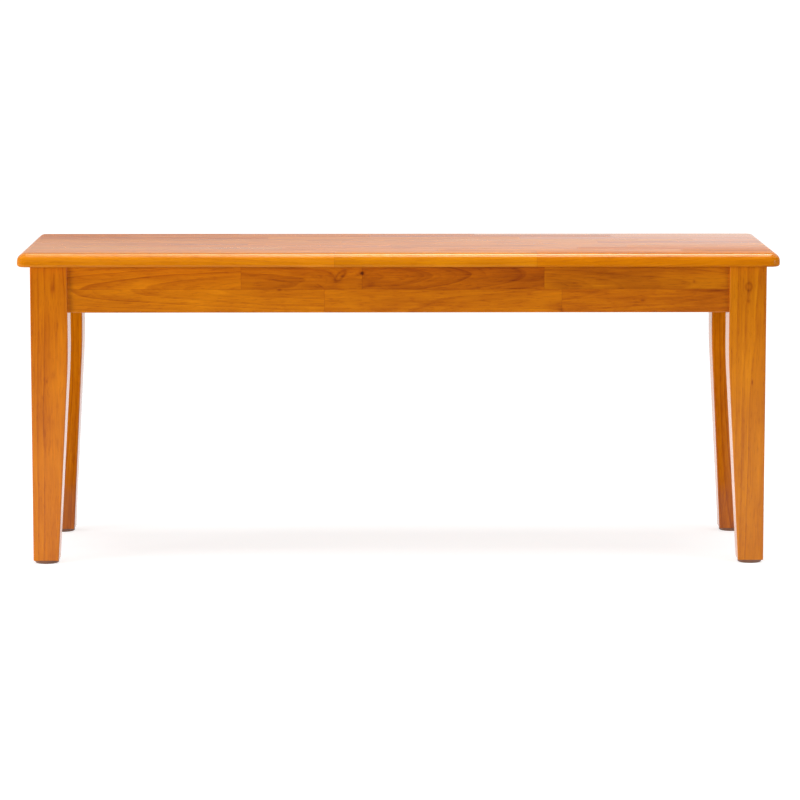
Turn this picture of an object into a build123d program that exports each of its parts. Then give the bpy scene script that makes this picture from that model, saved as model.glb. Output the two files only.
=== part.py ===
from build123d import *
from math import sqrt
import os

# A shaker bench of solid hardwood, in millimetres.
# X runs along the seat, the front faces -Y, Z points up, and the origin is on the
# floor under the middle of the seat.
#
# The seat is edge-glued from strips, and each strip is a row of staves that butt end
# to end. The aprons are made the same way, two strips high. Dowels set the aprons in
# the legs, and at each corner a block carries two bolts that draw the leg home.

# Overall sizes
seat_height = 457.0
seat_length = 1104.0
seat_depth = 355.0
seat_overhang = 18.0

# Seat board. Its edge rounds are shares of its thickness, and the other shares place
# the stave joints along each strip, front strip first.
seat_thickness = 20.0
seat_corner_radius = 15.0
seat_top_round_share = 0.6
seat_bottom_round_share = 0.2
seat_joint_shares = (
    (0.416, 0.681),
    (0.238, 0.552, 0.874),
    (0.345, 0.738),
    (0.152, 0.491, 0.806),
    (0.298, 0.634),
    (0.425, 0.771),
    (0.187, 0.563, 0.902),
    (0.322, 0.668),
    (0.128, 0.462, 0.795),
    (0.281, 0.607),
)

# Aprons; the shares place the stave joints, lower strip first
apron_height = 68.0
apron_thickness = 20.0
apron_setback = 5.0
apron_edge_round = 1.5
front_joint_shares = ((0.388, 0.747), (0.262, 0.445, 0.720))
rear_joint_shares = ((0.214, 0.583), (0.351, 0.694, 0.883))
left_joint_shares = ((0.640,), ())
right_joint_shares = ((), (0.385,))

# Legs, square at the top and tapered on their two inner faces
leg_size = 54.0
foot_size = 37.0
taper_drop = 67.0
taper_blend_radius = 900.0
leg_edge_round = 1.8
leg_flat_run = 12.0
foot_chamfer = 0.8

# Foot glides and their nails
glide_diameter = 35.0
glide_thickness = 4.8
glide_rim_round = 1.6
glide_recess_diameter = 9.0
glide_recess_depth = 2.0
nail_diameter = 2.5
nail_length = 20.0
nail_head_diameter = 7.0
nail_head_thickness = 1.2
nail_tip_length = 3.0

# Dowels between the aprons and the legs
dowel_diameter = 8.0
dowel_length = 30.0
dowel_chamfer = 1.0
dowel_hole_spare = 1.0

# Corner blocks and the bolts through them
block_gap = 4.0
block_thickness = 22.0
block_height = 50.0
block_edge_round = 1.0
bolt_diameter = 8.0
bolt_length = 50.0
bolt_spacing = 28.0
bolt_head_diameter = 14.0
bolt_head_height = 4.0
bolt_head_round = 1.2
bolt_socket_width = 5.0
bolt_socket_depth = 2.4
bolt_hole_clearance = 0.5
flat_washer_diameter = 18.0
flat_washer_thickness = 1.6
spring_washer_diameter = 13.5
spring_washer_thickness = 2.0
spring_washer_slit = 1.2
insert_diameter = 12.0
insert_length = 18.0
insert_hole_spare = 3.5

# Wood screws; each bites into this share of the wood it ends in
screw_diameter = 4.0
screw_head_diameter = 8.0
screw_head_height = 2.8
screw_head_bevel = 0.8
screw_tip_length = 3.0
screw_bore_clearance = 0.5
screw_bite_share = 0.64
pilot_spare = 1.2
block_screw_inset = 13.5
block_screw_grip = 10.0
block_screw_spacing = 30.0
block_seat_screw_side = 20.0
block_seat_screw_grip = 30.0

# Brace across the middle of the seat
brace_width = 60.0
brace_thickness = 22.0
brace_housing = 8.0
brace_edge_round = 1.5
brace_screw_grip = 16.0
brace_screw_shares = (-0.6, 0.0, 0.6)

# Wooden buttons that hold the seat down to the aprons
button_width = 25.0
button_length = 34.0
button_height = 20.0
button_tongue_height = 8.0
button_tongue_reach = 6.0
button_gap = 1.0
button_screw_grip = 15.0
mortise_play = 2.0
button_place_share = 0.43

# Clearance of a pin or screw in its hole, and of the brace in its housing
fit_clearance = 0.05
housing_clearance = 0.2

# Levels and lengths that follow
seat_underside = seat_height - seat_thickness
apron_bottom = seat_underside - apron_height
apron_row_height = apron_height / 2
frame_length = seat_length - 2 * seat_overhang
frame_depth = seat_depth - 2 * seat_overhang
corner_x = frame_length / 2
corner_y = frame_depth / 2
apron_middle = apron_setback + apron_thickness / 2
apron_inner = apron_setback + apron_thickness
strip_width = seat_depth / len(seat_joint_shares)
taper_start = apron_bottom - taper_drop

# Depths along a corner's diagonal, measured inwards from the leg's outer edge
leg_flat_depth = (2 * leg_size - leg_flat_run) / sqrt(2)
block_near = leg_flat_depth + block_gap
block_middle = block_near + block_thickness / 2
block_far = block_near + block_thickness
bolt_seat = block_far + flat_washer_thickness + spring_washer_thickness
bolt_tip = bolt_seat - bolt_length
insert_end = leg_flat_depth - insert_length
leg_hole_depth = leg_flat_depth - min(bolt_tip, insert_end) + insert_hole_spare

# Heights of what passes through a corner block
block_bottom = seat_underside - block_height
block_centre = seat_underside - block_height / 2
bolt_heights = (block_centre - bolt_spacing / 2, block_centre + bolt_spacing / 2)
block_screw_heights = (block_centre - block_screw_spacing / 2, block_centre + block_screw_spacing / 2)
dowel_heights = (apron_bottom + apron_row_height / 2, seat_underside - apron_row_height / 2)

screw_bore_radius = screw_head_diameter / 2 + screw_bore_clearance
screw_hole_radius = screw_diameter / 2 + fit_clearance
dowel_hole_radius = dowel_diameter / 2 + fit_clearance
seat_bite = screw_bite_share * seat_thickness
apron_bite = screw_bite_share * apron_thickness
block_screw_place = sqrt(2) * block_near - apron_inner + block_screw_inset


def from_corner(inward_x, inward_y):
    """The point this far inwards from the outer edge of the rear right leg."""
    return corner_x - inward_x, corner_y - inward_y


def corner_plane(depth):
    """A plane square to the corner's diagonal, at this depth, that faces inwards."""
    step = depth / sqrt(2)
    return Plane((*from_corner(step, step), 0), x_dir=(1, -1, 0), z_dir=(-1, -1, 0))


def beside_diagonal(depth, side):
    """The point at this depth along the corner's diagonal and this far to its side."""
    return from_corner((depth + side) / sqrt(2), (depth - side) / sqrt(2))


def facing(x, y, z, direction):
    """A plane at this point, square to a level direction, with its own Y upright."""
    x_dir = Vector(*direction).cross(Vector(0, 0, 1)) * -1
    return Plane((x, y, z), x_dir=x_dir, z_dir=direction)


def facing_down(x, y, z):
    """A plane at this point that faces the floor, for what is screwed up from below."""
    return Plane((x, y, z), x_dir=(1, 0, 0), z_dir=(0, 0, -1))


def block_screw_planes(inward):
    """Planes of the screws from the rear right block into its two aprons."""
    planes = []
    for height in block_screw_heights:
        x, y = from_corner(block_screw_place, inward)
        planes.append(facing(x, y, height, (0, -1, 0)))
        x, y = from_corner(inward, block_screw_place)
        planes.append(facing(x, y, height, (-1, 0, 0)))
    return planes


def save(piece, name):
    """Label a finished piece and write it to its own file."""
    piece.part.label = name
    export_step(piece.part, f"parts/{name}.step")


os.makedirs("parts", exist_ok=True)

# Places of the screws that go up into the seat
block_seat_places = [
    beside_diagonal(block_middle, side)
    for side in (-block_seat_screw_side, block_seat_screw_side)
]
brace_half_span = corner_y - apron_inner + brace_housing
brace_screw_places = [(0, share * brace_half_span) for share in brace_screw_shares]

# Buttons: where each stands on its apron's inner face, and which way its tongue points
long_button_x = button_place_share * frame_length / 2
button_stations = [
    (long_button_x, corner_y - apron_inner, 90),
    (-long_button_x, corner_y - apron_inner, 90),
    (long_button_x, apron_inner - corner_y, -90),
    (-long_button_x, apron_inner - corner_y, -90),
    (corner_x - apron_inner, 0, 0),
    (apron_inner - corner_x, 0, 180),
]
button_screw_inset = button_gap + button_length / 2
button_tops = [
    Location((x, y, seat_underside), (0, 0, turn)) for x, y, turn in button_stations
]
button_screw_points = [
    (top * Location((-button_screw_inset, 0, 0))).position for top in button_tops
]

# Seat board, whole, with its rounded edges and the pilot holes in its underside
with BuildPart() as seat_board:
    with BuildSketch(Plane.XY.offset(seat_underside)):
        RectangleRounded(seat_length, seat_depth, seat_corner_radius)
    extrude(amount=seat_thickness)
    fillet(seat_board.faces().sort_by(Axis.Z)[-1].edges(), seat_top_round_share * seat_thickness)
    fillet(seat_board.faces().sort_by(Axis.Z)[0].edges(), seat_bottom_round_share * seat_thickness)
    corner_pilots = [
        (side * x, end * y) for x, y in block_seat_places for side in (1, -1) for end in (1, -1)
    ]
    button_pilots = [(point.X, point.Y) for point in button_screw_points]
    pilots = corner_pilots + brace_screw_places + button_pilots
    with Locations(*[facing_down(x, y, seat_underside) for x, y in pilots]):
        Hole(screw_hole_radius, depth=seat_bite + pilot_spare)

# Seat strips, each cut from the board and divided at its stave joints
for number, shares in enumerate(seat_joint_shares):
    strip_front = number * strip_width - seat_depth / 2
    with BuildPart() as seat_strip:
        add(seat_board.part)
        if number > 0:
            split(bisect_by=facing(0, strip_front, 0, (0, 1, 0)))
        if number < len(seat_joint_shares) - 1:
            split(bisect_by=facing(0, strip_front + strip_width, 0, (0, -1, 0)))
        for share in shares:
            joint_x = (share - 0.5) * seat_length
            split(bisect_by=facing(joint_x, 0, 0, (1, 0, 0)), keep=Keep.BOTH)
    save(seat_strip, f"seat_strip_{number + 1:02d}")


def apron_board(length, middle, turn, button_places, housing_places):
    """A whole apron board; it is made along X at the rear and then turned to its side."""
    inner_face = middle - apron_thickness / 2
    with BuildPart() as board:
        with BuildSketch(Plane.XY.offset(apron_bottom)):
            with Locations((0, middle)):
                Rectangle(length, apron_thickness)
        extrude(amount=apron_height)
        bottom = board.faces().sort_by(Axis.Z)[0]
        fillet(bottom.edges().filter_by(Axis.X), apron_edge_round)
        # Dowel holes in both ends
        for end in (1, -1):
            dowel_planes = [
                facing(end * length / 2, middle, height, (end, 0, 0)) for height in dowel_heights
            ]
            with Locations(*dowel_planes):
                Hole(dowel_hole_radius, depth=dowel_length / 2 + dowel_hole_spare)
        # Pilot holes for the corner blocks' screws, in the inner face
        screw_x = length / 2 + leg_size - block_screw_place
        screw_planes = [
            facing(end * screw_x, inner_face, height, (0, -1, 0))
            for end in (1, -1) for height in block_screw_heights
        ]
        with Locations(*screw_planes):
            Hole(screw_hole_radius, depth=apron_bite + pilot_spare)
        # Mortises that the seat buttons hook into
        mortise_top = seat_underside - button_height + button_tongue_height
        mortise_height = button_tongue_height + mortise_play
        mortise_planes = [
            facing(x, inner_face, mortise_top - mortise_height / 2, (0, -1, 0))
            for x in button_places
        ]
        with BuildSketch(*mortise_planes):
            Rectangle(button_width + mortise_play, mortise_height)
        extrude(amount=-(button_tongue_reach + mortise_play), mode=Mode.SUBTRACT)
        # Housing for the brace, open at the top edge
        for x in housing_places:
            with BuildSketch(facing(x, inner_face, seat_underside - brace_thickness / 2, (0, -1, 0))):
                Rectangle(brace_width + 2 * housing_clearance, brace_thickness)
            extrude(amount=-(brace_housing + housing_clearance), mode=Mode.SUBTRACT)
    with BuildPart() as turned_board:
        with Locations(Location((0, 0, 0), (0, 0, turn))):
            add(board.part)
    return turned_board.part


def save_apron_rows(board, side, direction, length, joint_shares):
    """Divide an apron board into its two strips, and each strip at its stave joints."""
    row_level = apron_bottom + apron_row_height
    rows = zip(("lower", "upper"), (Keep.BOTTOM, Keep.TOP), joint_shares)
    for row_name, row_side, shares in rows:
        with BuildPart() as row:
            add(board)
            split(bisect_by=Plane.XY.offset(row_level), keep=row_side)
            for share in shares:
                joint = Vector(*direction) * ((share - 0.5) * length)
                split(bisect_by=facing(joint.X, joint.Y, 0, direction), keep=Keep.BOTH)
        save(row, f"{side}_apron_{row_name}_strip")


# Aprons on the four sides
long_apron_length = frame_length - 2 * leg_size
end_apron_length = frame_depth - 2 * leg_size
long_places = (long_button_x, -long_button_x)
sides = (
    ("front", 180, (1, 0, 0), front_joint_shares),
    ("rear", 0, (1, 0, 0), rear_joint_shares),
    ("left", 90, (0, 1, 0), left_joint_shares),
    ("right", -90, (0, 1, 0), right_joint_shares),
)
for side, turn, direction, joint_shares in sides:
    if side in ("front", "rear"):
        length = long_apron_length
        board = apron_board(length, corner_y - apron_middle, turn, long_places, (0,))
    else:
        length = end_apron_length
        board = apron_board(length, corner_x - apron_middle, turn, (0,), ())
    save_apron_rows(board, side, direction, length, joint_shares)

# Outline of a leg from the side: straight outside, tapered inside with a soft bend, and
# chamfered round the foot
with BuildSketch() as leg_outline:
    with BuildLine():
        Polyline(
            (0, glide_thickness),
            (foot_size, glide_thickness),
            (leg_size, taper_start),
            (leg_size, seat_underside),
            (0, seat_underside),
            close=True,
        )
    make_face()
    fillet(leg_outline.vertices().sort_by(Axis.Y)[2], radius=taper_blend_radius)
    chamfer(leg_outline.vertices().sort_by(Axis.Y)[:2], foot_chamfer)

# Rear right leg, the common part of its outlines from the front and from the side
foot_centre = from_corner(foot_size / 2, foot_size / 2)
with BuildPart() as corner_leg:
    with BuildSketch(Plane((corner_x, corner_y, 0), x_dir=(-1, 0, 0), z_dir=(0, 1, 0))):
        add(leg_outline.sketch)
    extrude(amount=-leg_size)
    with BuildSketch(Plane((corner_x, corner_y, 0), x_dir=(0, -1, 0), z_dir=(-1, 0, 0))):
        add(leg_outline.sketch)
    extrude(amount=leg_size, mode=Mode.INTERSECT)
    long_edges = corner_leg.edges().filter_by(lambda edge: edge.bounding_box().size.Z > leg_edge_round)
    fillet(long_edges, leg_edge_round)
    # Flat on the inner corner, where the bolts draw the leg against the aprons
    with BuildSketch(Plane.XY.offset(apron_bottom)):
        with BuildLine():
            Polyline(
                from_corner(leg_size, leg_size - leg_flat_run),
                from_corner(leg_size, leg_size),
                from_corner(leg_size - leg_flat_run, leg_size),
                close=True,
            )
        make_face()
    extrude(amount=apron_height, mode=Mode.SUBTRACT)
    # Holes for the threaded inserts and the ends of the bolts
    with BuildSketch(corner_plane(leg_flat_depth)):
        with Locations(*[(0, height) for height in bolt_heights]):
            Circle(insert_diameter / 2 + fit_clearance)
    extrude(amount=-leg_hole_depth, mode=Mode.SUBTRACT)
    # Dowel holes in the two faces that the aprons meet
    leg_dowel_planes = []
    for height in dowel_heights:
        x, y = from_corner(leg_size, apron_middle)
        leg_dowel_planes.append(facing(x, y, height, (-1, 0, 0)))
        x, y = from_corner(apron_middle, leg_size)
        leg_dowel_planes.append(facing(x, y, height, (0, -1, 0)))
    with Locations(*leg_dowel_planes):
        Hole(dowel_hole_radius, depth=dowel_length / 2 + dowel_hole_spare)
    # Hole for the glide's nail
    with Locations(facing_down(*foot_centre, glide_thickness)):
        Hole(nail_diameter / 2 + fit_clearance, depth=nail_length)

# Corner block, cut to the diagonal and screwed to both aprons
with BuildPart() as corner_block:
    near_place = sqrt(2) * block_near - apron_inner
    far_place = sqrt(2) * block_far - apron_inner
    with BuildSketch(Plane.XY.offset(block_bottom)):
        with BuildLine():
            Polyline(
                from_corner(near_place, apron_inner),
                from_corner(far_place, apron_inner),
                from_corner(apron_inner, far_place),
                from_corner(apron_inner, near_place),
                close=True,
            )
        make_face()
    extrude(amount=block_height)
    far_face = corner_block.faces().sort_by(Axis((0, 0, 0), (1, 1, 0)))[0]
    fillet(far_face.edges().filter_by(Axis.Z, reverse=True).sort_by(Axis.Z)[0], block_edge_round)
    with BuildSketch(corner_plane(block_far)):
        with Locations(*[(0, height) for height in bolt_heights]):
            Circle(bolt_diameter / 2 + bolt_hole_clearance)
    extrude(amount=-block_thickness, mode=Mode.SUBTRACT)
    with Locations(*block_screw_planes(apron_inner + block_screw_grip + block_thickness)):
        CounterBoreHole(
            radius=screw_hole_radius,
            counter_bore_radius=screw_bore_radius,
            counter_bore_depth=block_thickness,
            depth=block_thickness + block_screw_grip,
        )
    with Locations(*[facing_down(x, y, block_bottom) for x, y in block_seat_places]):
        CounterBoreHole(
            radius=screw_hole_radius,
            counter_bore_radius=screw_bore_radius,
            counter_bore_depth=block_height - block_seat_screw_grip,
            depth=block_height,
        )

# Foot glide, a disc with a rounded rim and a recess for its nail
with BuildPart() as corner_glide:
    with BuildSketch():
        with Locations(foot_centre):
            Circle(glide_diameter / 2)
    extrude(amount=glide_thickness)
    fillet(corner_glide.faces().sort_by(Axis.Z)[0].edges(), glide_rim_round)
    with Locations(facing_down(*foot_centre, 0)):
        CounterBoreHole(
            radius=nail_diameter / 2 + fit_clearance,
            counter_bore_radius=glide_recess_diameter / 2,
            counter_bore_depth=glide_recess_depth,
            depth=glide_thickness,
        )

# One leg, block and glide at each corner, as mirror images of the rear right ones
corners = (
    ("rear_right", ()),
    ("rear_left", (Plane.YZ,)),
    ("front_right", (Plane.XZ,)),
    ("front_left", (Plane.YZ, Plane.XZ)),
)
corner_pieces = (
    (corner_leg.part, "leg"),
    (corner_block.part, "corner_block"),
    (corner_glide.part, "foot_glide"),
)
for corner, mirrors in corners:
    for original, piece_name in corner_pieces:
        with BuildPart() as placed:
            add(original)
            for plane in mirrors:
                mirror(about=plane, mode=Mode.REPLACE)
        save(placed, f"{corner}_{piece_name}")

# Bolts: a low round head with a hexagon socket, and the shank into the leg
with BuildPart() as leg_bolts:
    with BuildSketch(corner_plane(bolt_seat)):
        with Locations(*[(0, height) for height in bolt_heights]):
            Circle(bolt_head_diameter / 2)
    extrude(amount=bolt_head_height)
    head_tops = leg_bolts.faces().filter_by(GeomType.PLANE).sort_by(Axis((0, 0, 0), (1, 1, 0)))[:2]
    fillet(head_tops.edges(), bolt_head_round)
    with BuildSketch(corner_plane(bolt_seat + bolt_head_height)):
        with Locations(*[(0, height) for height in bolt_heights]):
            RegularPolygon(bolt_socket_width / 2, side_count=6, major_radius=False)
    extrude(amount=-bolt_socket_depth, mode=Mode.SUBTRACT)
    with BuildSketch(corner_plane(bolt_seat)):
        with Locations(*[(0, height) for height in bolt_heights]):
            Circle(bolt_diameter / 2)
    extrude(amount=-bolt_length)
    mirror(about=Plane.YZ)
    mirror(about=Plane.XZ)
save(leg_bolts, "leg_bolts")


def corner_rings(start, thickness, outer_diameter, inner_radius, slit=0):
    """Rings round both bolts of every corner, from this depth inwards, slit at the top."""
    ring_places = [(0, height) for height in bolt_heights]
    slit_places = [(0, height + outer_diameter / 2) for height in bolt_heights]
    with BuildPart() as rings:
        with BuildSketch(corner_plane(start)):
            with Locations(*ring_places):
                Circle(outer_diameter / 2)
                Circle(inner_radius, mode=Mode.SUBTRACT)
            if slit > 0:
                with Locations(*slit_places):
                    Rectangle(slit, outer_diameter, mode=Mode.SUBTRACT)
        extrude(amount=thickness)
        mirror(about=Plane.YZ)
        mirror(about=Plane.XZ)
    return rings


# Flat washers on the blocks, spring washers under the bolt heads, inserts in the legs
bolt_bore_radius = bolt_diameter / 2 + fit_clearance
washer_bore_radius = bolt_diameter / 2 + bolt_hole_clearance
flat_washers = corner_rings(
    block_far, flat_washer_thickness, flat_washer_diameter, washer_bore_radius
)
save(flat_washers, "flat_washers")
spring_washers = corner_rings(
    block_far + flat_washer_thickness,
    spring_washer_thickness,
    spring_washer_diameter,
    washer_bore_radius,
    slit=spring_washer_slit,
)
save(spring_washers, "spring_washers")
threaded_inserts = corner_rings(insert_end, insert_length, insert_diameter, bolt_bore_radius)
save(threaded_inserts, "threaded_inserts")


def wood_screw(length):
    """A round-headed screw with its tip down and the underside of its head at zero."""
    head_radius = screw_head_diameter / 2
    with BuildPart() as screw:
        with BuildSketch(Plane.XZ):
            with BuildLine():
                Polyline(
                    (0, screw_head_height),
                    (head_radius - screw_head_bevel, screw_head_height),
                    (head_radius, screw_head_height - screw_head_bevel),
                    (head_radius, 0),
                    (screw_diameter / 2, 0),
                    (screw_diameter / 2, screw_tip_length - length),
                    (0, -length),
                    close=True,
                )
            make_face()
        revolve(axis=Axis.Z)
    return screw.part


def save_screws(length, planes, name, mirrored=False):
    """One screw on each plane, and on the planes' mirror images where they are wanted."""
    with BuildPart() as screws:
        with Locations(*planes):
            add(wood_screw(length))
        if mirrored:
            mirror(about=Plane.YZ)
            mirror(about=Plane.XZ)
    save(screws, name)


save_screws(
    block_screw_grip + apron_bite,
    block_screw_planes(apron_inner + block_screw_grip),
    "apron_screws",
    mirrored=True,
)
block_screw_level = seat_underside - block_seat_screw_grip
save_screws(
    block_seat_screw_grip + seat_bite,
    [facing_down(x, y, block_screw_level) for x, y in block_seat_places],
    "block_seat_screws",
    mirrored=True,
)
brace_screw_level = seat_underside - brace_screw_grip
save_screws(
    brace_screw_grip + seat_bite,
    [facing_down(x, y, brace_screw_level) for x, y in brace_screw_places],
    "brace_screws",
)
button_screw_level = seat_underside - button_screw_grip
save_screws(
    button_screw_grip + seat_bite,
    [facing_down(point.X, point.Y, button_screw_level) for point in button_screw_points],
    "button_screws",
)

# Brace, housed in both long aprons and screwed up into the seat
with BuildPart() as centre_brace:
    with BuildSketch(Plane.XY.offset(seat_underside)):
        Rectangle(brace_width, 2 * brace_half_span)
    extrude(amount=-brace_thickness)
    brace_bottom = centre_brace.faces().sort_by(Axis.Z)[0]
    fillet(brace_bottom.edges().filter_by(Axis.Y), brace_edge_round)
    brace_underside = seat_underside - brace_thickness
    with Locations(*[facing_down(x, y, brace_underside) for x, y in brace_screw_places]):
        CounterBoreHole(
            radius=screw_hole_radius,
            counter_bore_radius=screw_bore_radius,
            counter_bore_depth=brace_thickness - brace_screw_grip,
            depth=brace_thickness,
        )
save(centre_brace, "centre_brace")

# Seat button, made with its tongue pointing along X and its top at zero
with BuildPart() as button:
    tongue_level = button_tongue_height - button_height
    with BuildSketch(Plane.XZ):
        with BuildLine():
            Polyline(
                (-button_gap, 0),
                (-button_gap, tongue_level),
                (button_tongue_reach, tongue_level),
                (button_tongue_reach, -button_height),
                (-button_gap - button_length, -button_height),
                (-button_gap - button_length, 0),
                close=True,
            )
        make_face()
    extrude(amount=button_width / 2, both=True)
    with Locations(facing_down(-button_screw_inset, 0, -button_height)):
        CounterBoreHole(
            radius=screw_hole_radius,
            counter_bore_radius=screw_bore_radius,
            counter_bore_depth=button_height - button_screw_grip,
            depth=button_height,
        )

with BuildPart() as seat_buttons:
    with Locations(*button_tops):
        add(button.part)
save(seat_buttons, "seat_buttons")

# Dowel, centred on the joint between a leg and an apron
with BuildPart() as dowel:
    with BuildSketch():
        Circle(dowel_diameter / 2)
    extrude(amount=dowel_length / 2, both=True)
    chamfer(dowel.edges().filter_by(GeomType.CIRCLE), dowel_chamfer)

with BuildPart() as apron_dowels:
    with Locations(*leg_dowel_planes):
        add(dowel.part)
    mirror(about=Plane.YZ)
    mirror(about=Plane.XZ)
save(apron_dowels, "apron_dowels")

# Nails that hold the glides, heads up in the glides' recesses
with BuildPart() as glide_nails:
    with BuildSketch(Plane.XY.offset(glide_recess_depth)):
        with Locations(foot_centre):
            Circle(nail_head_diameter / 2)
    extrude(amount=-nail_head_thickness)
    with BuildSketch(Plane.XY.offset(glide_recess_depth)):
        with Locations(foot_centre):
            Circle(nail_diameter / 2)
    extrude(amount=nail_length)
    nail_tip = glide_nails.faces().sort_by(Axis.Z)[-1]
    chamfer(nail_tip.edges(), length=nail_tip_length, length2=nail_diameter / 2 - fit_clearance)
    mirror(about=Plane.YZ)
    mirror(about=Plane.XZ)
save(glide_nails, "glide_nails")
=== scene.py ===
import bisect
import math
import random

import bmesh
import bpy
from mathutils import Matrix, Vector


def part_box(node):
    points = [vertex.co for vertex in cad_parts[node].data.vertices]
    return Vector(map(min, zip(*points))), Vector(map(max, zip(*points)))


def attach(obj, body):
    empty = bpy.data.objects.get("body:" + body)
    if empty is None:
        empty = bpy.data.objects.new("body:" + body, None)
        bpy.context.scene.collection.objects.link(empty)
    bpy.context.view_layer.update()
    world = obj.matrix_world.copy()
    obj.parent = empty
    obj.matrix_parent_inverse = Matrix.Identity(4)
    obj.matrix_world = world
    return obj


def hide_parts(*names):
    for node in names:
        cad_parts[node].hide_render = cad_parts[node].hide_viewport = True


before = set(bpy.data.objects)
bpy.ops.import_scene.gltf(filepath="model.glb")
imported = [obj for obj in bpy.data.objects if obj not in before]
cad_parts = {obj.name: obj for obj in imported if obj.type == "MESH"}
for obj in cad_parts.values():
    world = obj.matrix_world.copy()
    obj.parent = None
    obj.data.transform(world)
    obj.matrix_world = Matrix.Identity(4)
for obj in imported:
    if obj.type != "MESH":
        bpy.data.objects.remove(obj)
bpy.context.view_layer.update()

# A shaker bench of lacquered hardwood, in metres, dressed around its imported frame.
# The wooden pieces are rebuilt stave by stave from their nodes, and each stave carries
# its own grain. Screws and bolts get their drives and threads here.

X_AXIS = Vector((1, 0, 0))
Y_AXIS = Vector((0, 1, 0))
Z_AXIS = Vector((0, 0, 1))
MILLIMETRE = 0.001

# Camera, fitted to the edges of the photograph, with its angles in radians
camera_place = (-0.0403, -5.335, 0.920)
camera_pitch = 0.1303
camera_yaw = -0.00817
sensor_width = 36.0
picture_width = 800
focal_pixels = 3588

# Reading the staves out of a node
inside_step = 0.2 * MILLIMETRE
joint_step = 0.1 * MILLIMETRE
square_on = 0.999
back_to_back_share = 1.2
weld_distance = 0.002 * MILLIMETRE
flat_angle = math.radians(0.2)
crease_angle = math.radians(32)

# How a stave lies in the tree: its distance from the pith, and how far it runs out
pith_depths = (22 * MILLIMETRE, 75 * MILLIMETRE)
pith_sides = (-24 * MILLIMETRE, 24 * MILLIMETRE)
run_out = (0.03, 0.075)

# Limits of chance: how strong a stave's rings are, and how far along the trunk it grew
figures = (0.5, 1.3)
trunk_shift = 18.0

# A margin so wide that no seam shows, and the sheen of a stave that has none of its own
no_joint = 1.0
even_sheen = 0.55

# Detail of the noise in fibres and specks, in broad clouds, and in what is smooth
fine_detail = 2.0
broad_detail = 3.0
smooth_detail = 1.0
noise_middle = 0.5


class Graph:
    """The node tree of a material or a world, with short calls for the nodes that repeat."""

    def __init__(self, owner, shader="Principled BSDF"):
        owner.use_nodes = True
        self.owner = owner
        self.tree = owner.node_tree
        self.shader = self.tree.nodes[shader]

    def put(self, value, socket):
        """Link a socket to a value's output, or set the value on the socket itself."""
        if isinstance(value, bpy.types.NodeSocket):
            self.tree.links.new(value, socket)
        else:
            socket.default_value = value

    def add(self, kind, settings, *values):
        """A new node with these settings, its first inputs filled in order."""
        node = self.tree.nodes.new("ShaderNode" + kind)
        for name, setting in settings.items():
            setattr(node, name, setting)
        for socket, value in zip(node.inputs, values):
            self.put(value, socket)
        return node

    def math(self, operation, *values):
        """One sum of numbers or of sockets that carry a number."""
        return self.add("Math", {"operation": operation}, *values).outputs[0]

    def vector(self, operation, *values):
        """One sum of vectors, or the length that it gives."""
        node = self.add("VectorMath", {"operation": operation}, *values)
        return node.outputs["Value" if operation in ("LENGTH", "DISTANCE") else "Vector"]

    def attribute(self, name, output="Vector"):
        """What the mesh carries under this name."""
        return self.add("Attribute", {"attribute_name": name}).outputs[output]

    def place(self, output="Object"):
        """Where the shaded point is, in the object's own metres unless asked otherwise."""
        return self.add("TexCoord", {}).outputs[output]

    def part(self, value, axis):
        """The X, Y or Z of a vector."""
        return self.add("SeparateXYZ", {}, value).outputs[axis]

    def bell(self, distance, sharpness):
        """One at no distance, and less and less to both sides."""
        squared = self.math("POWER", distance, 2.0)
        return self.math("EXPONENT", self.math("MULTIPLY", squared, -sharpness))

    def noise(self, place, stretch, detail=fine_detail, output="Fac"):
        """Noise whose scale differs along the three axes."""
        node = self.add("TexNoise", {}, self.vector("MULTIPLY", place, stretch))
        node.inputs["Scale"].default_value = 1.0
        node.inputs["Detail"].default_value = detail
        return node.outputs[output]

    def spread(self, value, low, high, to_low=0.0, to_high=1.0):
        """The value's range low to high, eased and clamped to to_low to to_high."""
        easing = {"interpolation_type": "SMOOTHSTEP"}
        return self.add("MapRange", easing, value, low, high, to_low, to_high).outputs[0]

    def mix(self, share, first, second):
        """A colour between two others; a share of one gives the second."""
        return self.add("MixRGB", {"blend_type": "MIX"}, share, first, second).outputs[0]

    def ramp(self, value, stops):
        """Colours or greys along a value; each stop is its place and its colour or grey."""
        node = self.add("ValToRGB", {}, value)
        ramp = node.color_ramp
        for place, _ in stops[:-2]:
            ramp.elements.new(place)
        for element, (place, colour) in zip(ramp.elements, stops):
            element.position = place
            element.color = (*colour, 1.0) if isinstance(colour, tuple) else (colour,) * 3 + (1.0,)
        return node.outputs["Color"]

    def bump(self, height, distance, strength):
        """Relief as deep as the distance where the height is one."""
        node = self.add("Bump", {})
        node.inputs["Strength"].default_value = strength
        node.inputs["Distance"].default_value = distance
        self.put(height, node.inputs["Height"])
        self.put(node.outputs["Normal"], self.shader.inputs["Normal"])

    def finish(self, **inputs):
        """Set the shader's own sockets and give the material or world back."""
        for name, value in inputs.items():
            self.put(value, self.shader.inputs[name.replace("_", " ")])
        return self.owner


# Stained hardwood, from the darkest knot to the lightest early wood
amber_stops = (
    (0.00, (0.105, 0.022, 0.0015)),
    (0.22, (0.310, 0.061, 0.0008)),
    (0.50, (0.505, 0.127, 0.0008)),
    (0.74, (0.670, 0.200, 0.0010)),
    (1.00, (0.860, 0.290, 0.0040)),
)

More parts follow.
